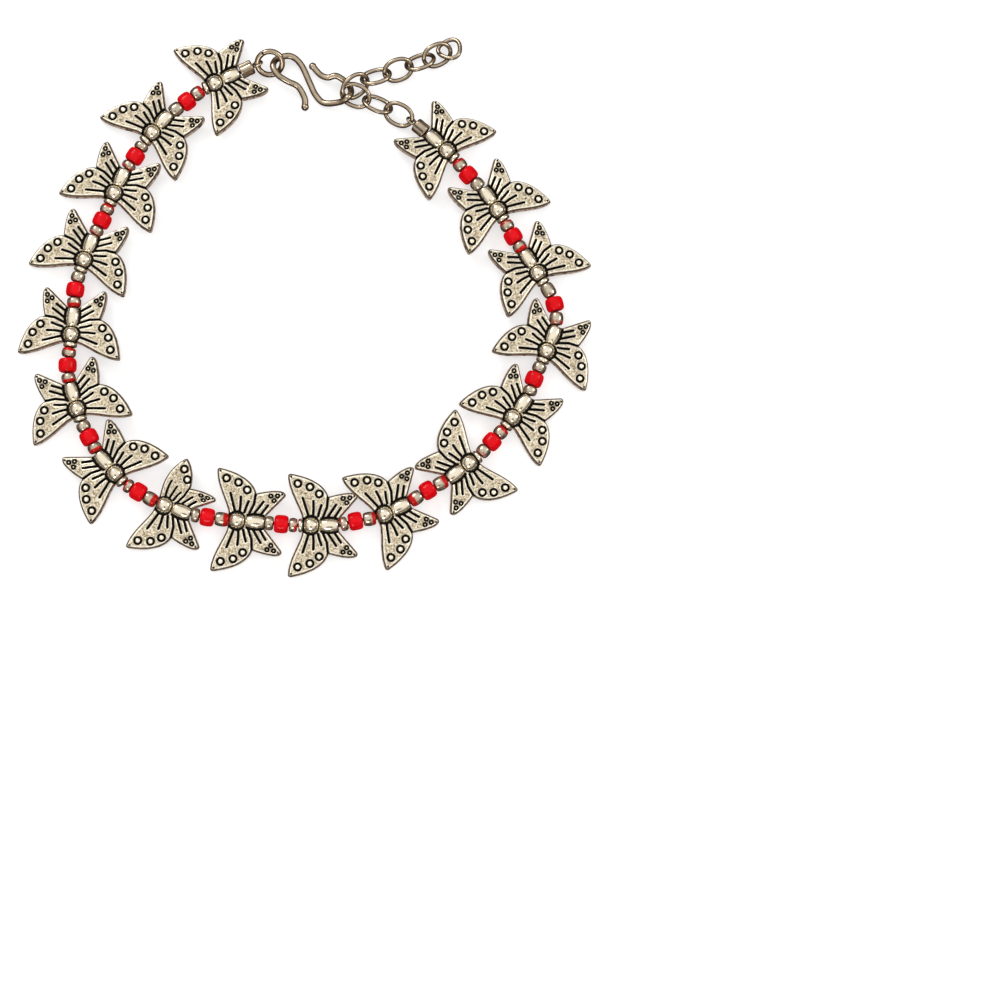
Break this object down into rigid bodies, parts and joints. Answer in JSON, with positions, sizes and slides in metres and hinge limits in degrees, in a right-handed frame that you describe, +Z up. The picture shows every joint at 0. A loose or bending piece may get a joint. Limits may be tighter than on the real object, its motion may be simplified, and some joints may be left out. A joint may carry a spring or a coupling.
{
  "type": "payal anklet",
  "caption": "Beaded anklet of cast butterfly charms and red glass beads on a thread, with an S-hook clasp and an extender chain, lying as a loop.",
  "frame": {"origin": "middle of the underside of the bounding box, on the table that the anklet lies on", "axes": "+Z up from the table, +Y across the loop towards the clasp, +X across the loop towards the extender chain's free end"},
  "size_m": [0.1042, 0.1008, 0.0041],
  "materials": {
    "charm_silver": "antique silver-tone casting, blackened in its grooves",
    "red_glass": "opaque glossy glass",
    "spacer_metal": "polished grey-brown metal beads on a dark red thread",
    "clasp_metal": "polished warm nickel-tone wire"
  },
  "bodies": {
    "root": {"butterfly_01": "charm_silver", "butterfly_02": "charm_silver", "butterfly_03": "charm_silver", "butterfly_04": "charm_silver", "butterfly_05": "charm_silver", "butterfly_06": "charm_silver", "butterfly_07": "charm_silver", "butterfly_08": "charm_silver", "butterfly_09": "charm_silver", "butterfly_10": "charm_silver", "butterfly_11": "charm_silver", "butterfly_12": "charm_silver", "butterfly_13": "charm_silver", "butterfly_14": "charm_silver", "butterfly_15": "charm_silver", "butterfly_16": "charm_silver", "butterfly_17": "charm_silver", "red_bead_01": "red_glass", "red_bead_02": "red_glass", "red_bead_03": "red_glass", "red_bead_04": "red_glass", "red_bead_05": "red_glass", "red_bead_06": "red_glass", "red_bead_07": "red_glass", "red_bead_08": "red_glass", "red_bead_09": "red_glass", "red_bead_10": "red_glass", "red_bead_11": "red_glass", "red_bead_12": "red_glass", "red_bead_13": "red_glass", "red_bead_14": "red_glass", "red_bead_15": "red_glass", "red_bead_16": "red_glass", "string": "spacer_metal", "end_cap_left": "clasp_metal", "end_cap_right": "clasp_metal", "jump_ring": "clasp_metal", "s_hook": "clasp_metal", "chain_link_1": "clasp_metal", "chain_link_2": "clasp_metal", "chain_link_3": "clasp_metal", "chain_link_4": "clasp_metal", "chain_link_5": "clasp_metal", "chain_link_6": "clasp_metal", "chain_link_7": "clasp_metal", "chain_link_8": "clasp_metal", "end_ring": "clasp_metal"}
  },
  "joints": []
}
